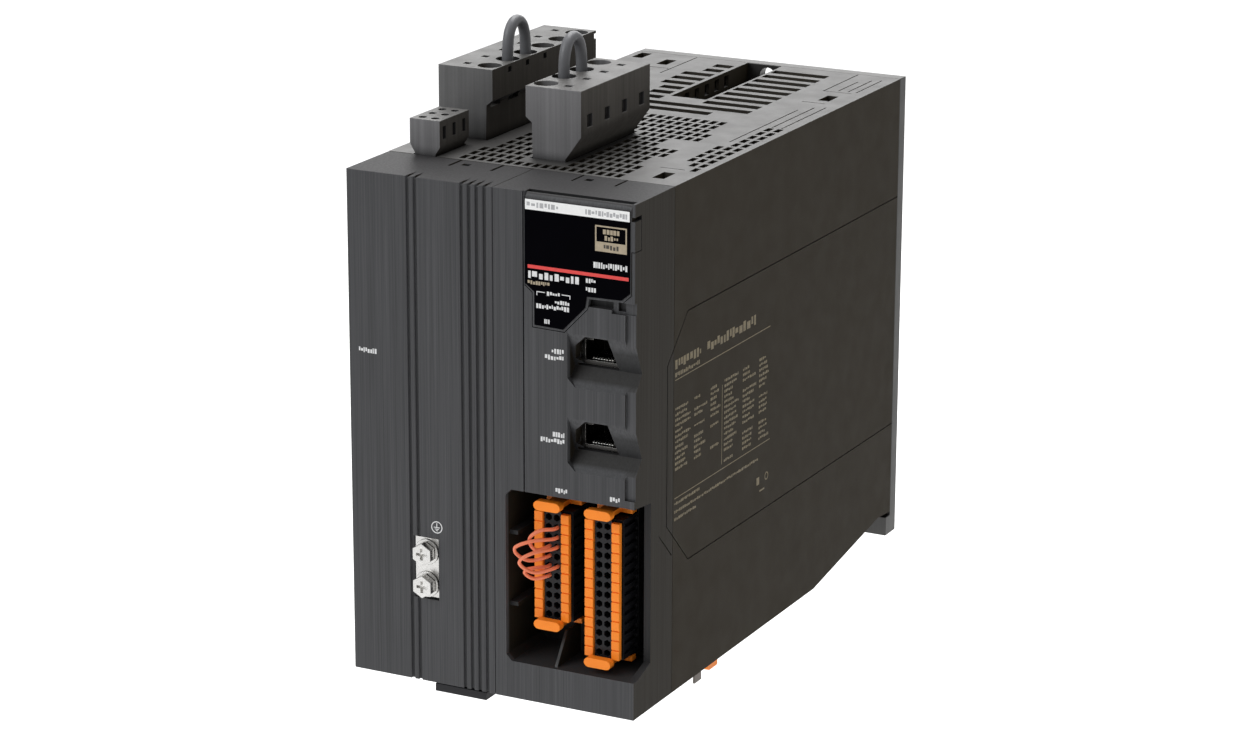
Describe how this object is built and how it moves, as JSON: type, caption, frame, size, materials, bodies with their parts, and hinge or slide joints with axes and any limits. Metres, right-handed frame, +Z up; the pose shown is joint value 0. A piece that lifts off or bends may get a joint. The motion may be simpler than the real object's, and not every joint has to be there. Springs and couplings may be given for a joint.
{
  "type": "servo drive",
  "caption": "Tall panel-mounted servo drive with pluggable power and signal connectors, network ports, hinged display cover and slotted top.",
  "frame": {"origin": "middle of the mounting plate's back face, half-way up the case", "axes": "+Z up, front face towards -Y, mounting plate's back face towards +Y, +X to the right of someone facing the front"},
  "size_m": [0.11, 0.232, 0.2319],
  "materials": {
    "case_front": "dark blue-grey film with fine upright brushed streaks",
    "case_body": "dark warm grey moulded plastic with a fine texture",
    "plug_plastic": "mid grey moulded plastic",
    "black_plastic": "black moulded plastic",
    "door_gloss": "glossy black display cover",
    "orange_plastic": "orange moulded plastic",
    "jumper_red": "orange-red wire insulation",
    "link_grey": "grey wire insulation",
    "aluminium": "plain aluminium",
    "bright_steel": "nickel-plated steel",
    "board_green": "green circuit board",
    "sleeve_black": "black sleeve",
    "module_black": "black power module case"
  },
  "bodies": {
    "case": {"mounting_plate": "aluminium", "plate_screw_lower_left": "bright_steel", "plate_screw_lower_right": "bright_steel", "plate_screw_upper_left": "bright_steel", "plate_screw_upper_right": "bright_steel", "heat_sink": "aluminium", "power_module": "module_black", "fan_frame": "black_plastic", "main_housing": "case_body", "bottom_cover": "case_body", "power_front_cover": "case_front", "earth_terminal_plate": "bright_steel", "cable_guide_lip": "black_plastic", "control_front_cover": "case_front", "door_hinge_pin": "bright_steel", "display_module": "black_plastic", "service_port": "bright_steel", "network_jack_upper": "bright_steel", "network_jack_lower": "bright_steel", "left_signal_header": "black_plastic", "right_signal_header": "black_plastic", "supply_header": "black_plastic", "brake_header": "black_plastic", "control_supply_header": "black_plastic", "control_board": "board_green", "power_board": "board_green", "bus_capacitor_1": "sleeve_black", "bus_capacitor_2": "sleeve_black", "bus_capacitor_3": "sleeve_black"},
    "display_door": {"display_door": "case_front", "door_label_film": "door_gloss"},
    "fan_rotor": {"fan_rotor": "sleeve_black"},
    "earth_screw_upper": {"earth_screw_upper": "bright_steel", "earth_washer_upper": "bright_steel"},
    "earth_screw_lower": {"earth_screw_lower": "bright_steel", "earth_washer_lower": "bright_steel"},
    "address_switch_upper": {"address_switch_upper": "orange_plastic"},
    "address_switch_lower": {"address_switch_lower": "orange_plastic"},
    "supply_plug": {"supply_plug": "plug_plastic", "supply_link_wire": "link_grey"},
    "brake_plug": {"brake_plug": "plug_plastic", "brake_link_wire": "link_grey"},
    "control_supply_plug": {"control_supply_plug": "plug_plastic"},
    "motor_plug": {"motor_plug": "black_plastic", "shield_clip": "bright_steel"},
    "motor_plug_latch": {"motor_plug_latch": "orange_plastic"},
    "left_signal_plug": {"left_signal_plug": "black_plastic", "jumper_wire_1": "jumper_red", "jumper_wire_2": "jumper_red", "jumper_wire_3": "jumper_red", "jumper_wire_4": "jumper_red"},
    "left_release_strip_outer": {"left_release_strip_outer": "orange_plastic"},
    "left_release_strip_inner": {"left_release_strip_inner": "orange_plastic"},
    "left_latch_upper": {"left_latch_upper": "orange_plastic"},
    "left_latch_lower": {"left_latch_lower": "orange_plastic"},
    "right_signal_plug": {"right_signal_plug": "black_plastic"},
    "right_release_strip_outer": {"right_release_strip_outer": "orange_plastic"},
    "right_release_strip_inner": {"right_release_strip_inner": "orange_plastic"},
    "right_latch_upper": {"right_latch_upper": "orange_plastic"},
    "right_latch_lower": {"right_latch_lower": "orange_plastic"}
  },
  "joints": [
    {"name": "display_door_hinge", "type": "hinge", "parent": "case", "child": "display_door", "pos_m": [0.034, -0.2232, 0.088], "axis": [-1, 0, 0], "range_deg": [0, 90]},
    {"name": "fan_spin", "type": "hinge", "parent": "case", "child": "fan_rotor", "pos_m": [0, -0.0358, -0.068], "axis": [0, 0, 1], "continuous": true},
    {"name": "earth_screw_upper_turn", "type": "hinge", "parent": "case", "child": "earth_screw_upper", "pos_m": [-0.0254, -0.226, -0.0426], "axis": [0, -1, 0], "continuous": true},
    {"name": "earth_screw_lower_turn", "type": "hinge", "parent": "case", "child": "earth_screw_lower", "pos_m": [-0.0254, -0.226, -0.0544], "axis": [0, -1, 0], "continuous": true},
    {"name": "address_switch_upper_turn", "type": "hinge", "parent": "case", "child": "address_switch_upper", "pos_m": [0.043, -0.221, 0.077], "axis": [0, -1, 0], "continuous": true},
    {"name": "address_switch_lower_turn", "type": "hinge", "parent": "case", "child": "address_switch_lower", "pos_m": [0.043, -0.221, 0.066], "axis": [0, -1, 0], "continuous": true},
    {"name": "supply_plug_pull", "type": "slide", "parent": "case", "child": "supply_plug", "axis": [0, 0, 1], "range_m": [0, 0.014]},
    {"name": "brake_plug_pull", "type": "slide", "parent": "case", "child": "brake_plug", "axis": [0, 0, 1], "range_m": [0, 0.014]},
    {"name": "control_supply_plug_pull", "type": "slide", "parent": "case", "child": "control_supply_plug", "axis": [0, 0, 1], "range_m": [0, 0.01]},
    {"name": "motor_plug_pull", "type": "slide", "parent": "case", "child": "motor_plug", "axis": [0, 0, -1], "range_m": [0, 0.014]},
    {"name": "motor_plug_latch_swing", "type": "hinge", "parent": "motor_plug", "child": "motor_plug_latch", "pos_m": [0.0487, -0.152, -0.09315], "axis": [1, 0, 0], "range_deg": [0, 35]},
    {"name": "left_signal_plug_pull", "type": "slide", "parent": "case", "child": "left_signal_plug", "axis": [0, -1, 0], "range_m": [0, 0.012]},
    {"name": "left_release_outer_press", "type": "slide", "parent": "left_signal_plug", "child": "left_release_strip_outer", "axis": [0, 1, 0], "range_m": [0, 0.0008], "stiffness_N_per_m": 4000},
    {"name": "left_release_inner_press", "type": "slide", "parent": "left_signal_plug", "child": "left_release_strip_inner", "axis": [0, 1, 0], "range_m": [0, 0.0008], "stiffness_N_per_m": 4000},
    {"name": "left_latch_upper_swing", "type": "hinge", "parent": "left_signal_plug", "child": "left_latch_upper", "pos_m": [0.021, -0.2103, -0.0202], "axis": [-1, 0, 0], "range_deg": [0, 10]},
    {"name": "left_latch_lower_swing", "type": "hinge", "parent": "left_signal_plug", "child": "left_latch_lower", "pos_m": [0.021, -0.2103, -0.0629], "axis": [1, 0, 0], "range_deg": [0, 7]},
    {"name": "right_signal_plug_pull", "type": "slide", "parent": "case", "child": "right_signal_plug", "axis": [0, -1, 0], "range_m": [0, 0.012]},
    {"name": "right_release_outer_press", "type": "slide", "parent": "right_signal_plug", "child": "right_release_strip_outer", "axis": [0, 1, 0], "range_m": [0, 0.0008], "stiffness_N_per_m": 4000},
    {"name": "right_release_inner_press", "type": "slide", "parent": "right_signal_plug", "child": "right_release_strip_inner", "axis": [0, 1, 0], "range_m": [0, 0.0008], "stiffness_N_per_m": 4000},
    {"name": "right_latch_upper_swing", "type": "hinge", "parent": "right_signal_plug", "child": "right_latch_upper", "pos_m": [0.0403, -0.2103, -0.0202], "axis": [-1, 0, 0], "range_deg": [0, 10]},
    {"name": "right_latch_lower_swing", "type": "hinge", "parent": "right_signal_plug", "child": "right_latch_lower", "pos_m": [0.0403, -0.2103, -0.0734], "axis": [1, 0, 0], "range_deg": [0, 7]}
  ]
}
